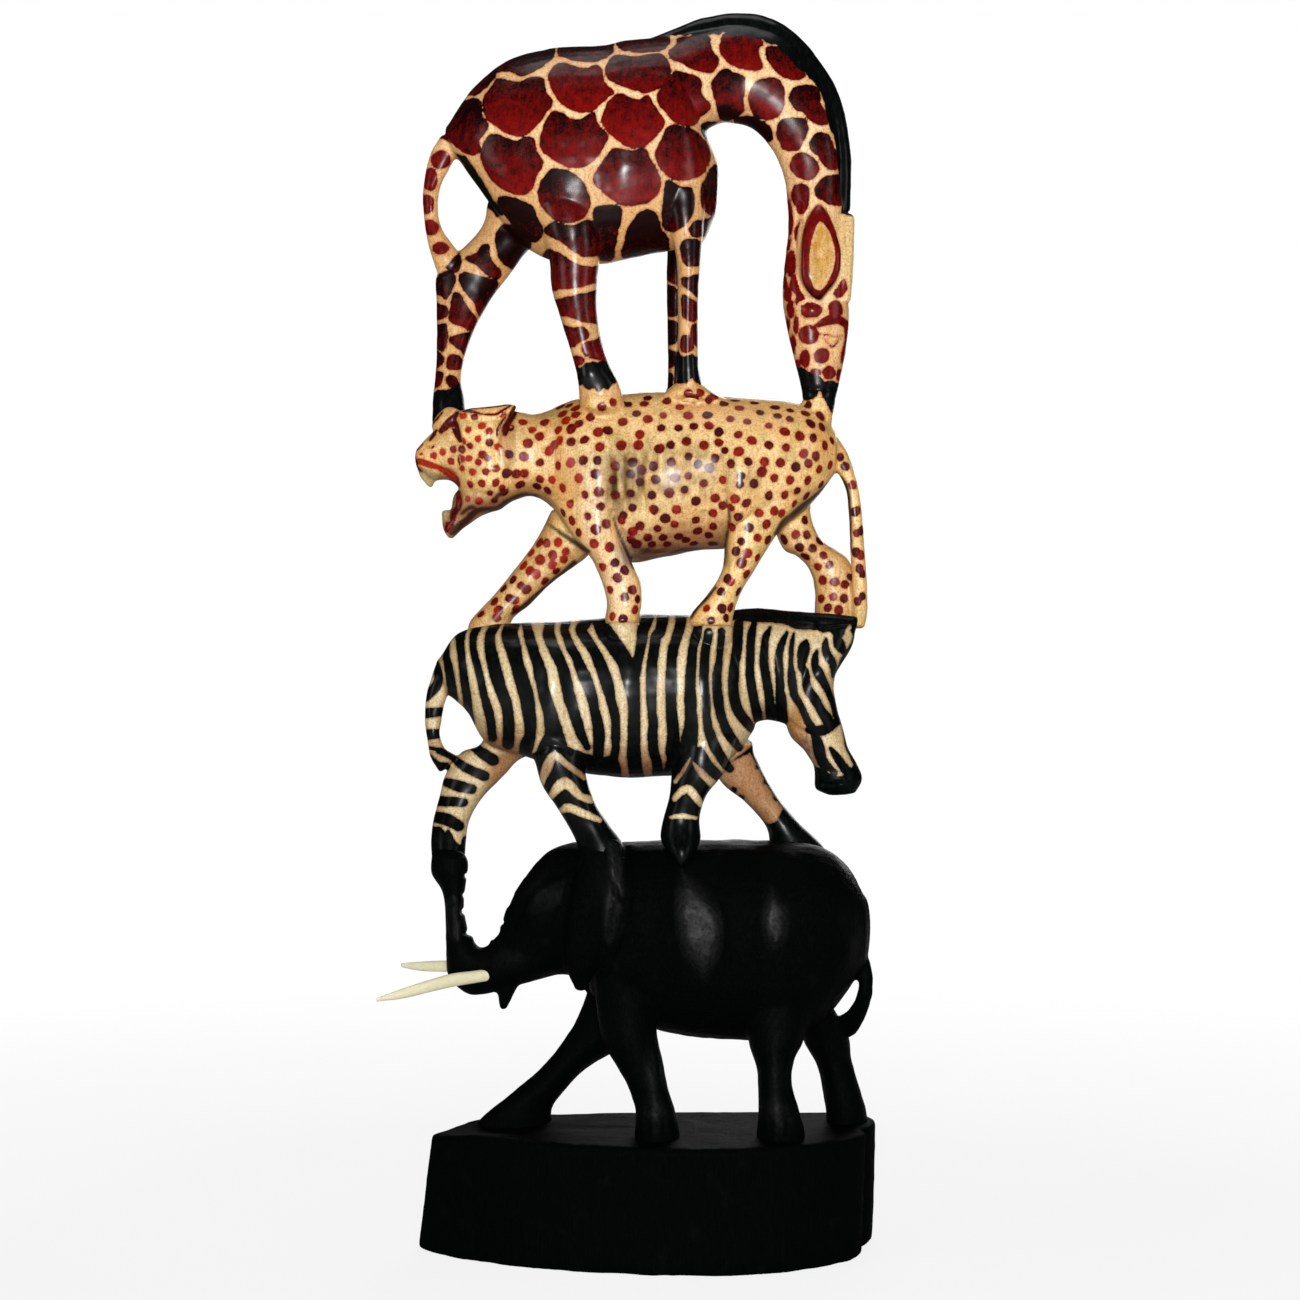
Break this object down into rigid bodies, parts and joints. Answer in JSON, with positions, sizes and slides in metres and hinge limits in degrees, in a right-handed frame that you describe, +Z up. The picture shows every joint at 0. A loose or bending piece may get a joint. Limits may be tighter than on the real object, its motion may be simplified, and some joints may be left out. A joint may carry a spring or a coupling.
{
  "type": "stacked animal carving",
  "caption": "Painted wood carving of a giraffe on a leopard on a zebra on an elephant, one piece with its black log base, with pale tusks let in.",
  "frame": {"origin": "on the flat underside of the base, below the middle of the stack", "axes": "+Z up, +X the way the giraffe and the zebra walk, -Y the side shown in the picture"},
  "size_m": [0.1973, 0.0804, 0.495],
  "materials": {
    "painted_wood": "painted black, cream and maroon by hand, satin varnish",
    "tusk": "smooth pale bone, slightly glossy"
  },
  "bodies": {
    "root": {"carving": "painted_wood", "left_tusk": "tusk", "right_tusk": "tusk"}
  },
  "joints": []
}
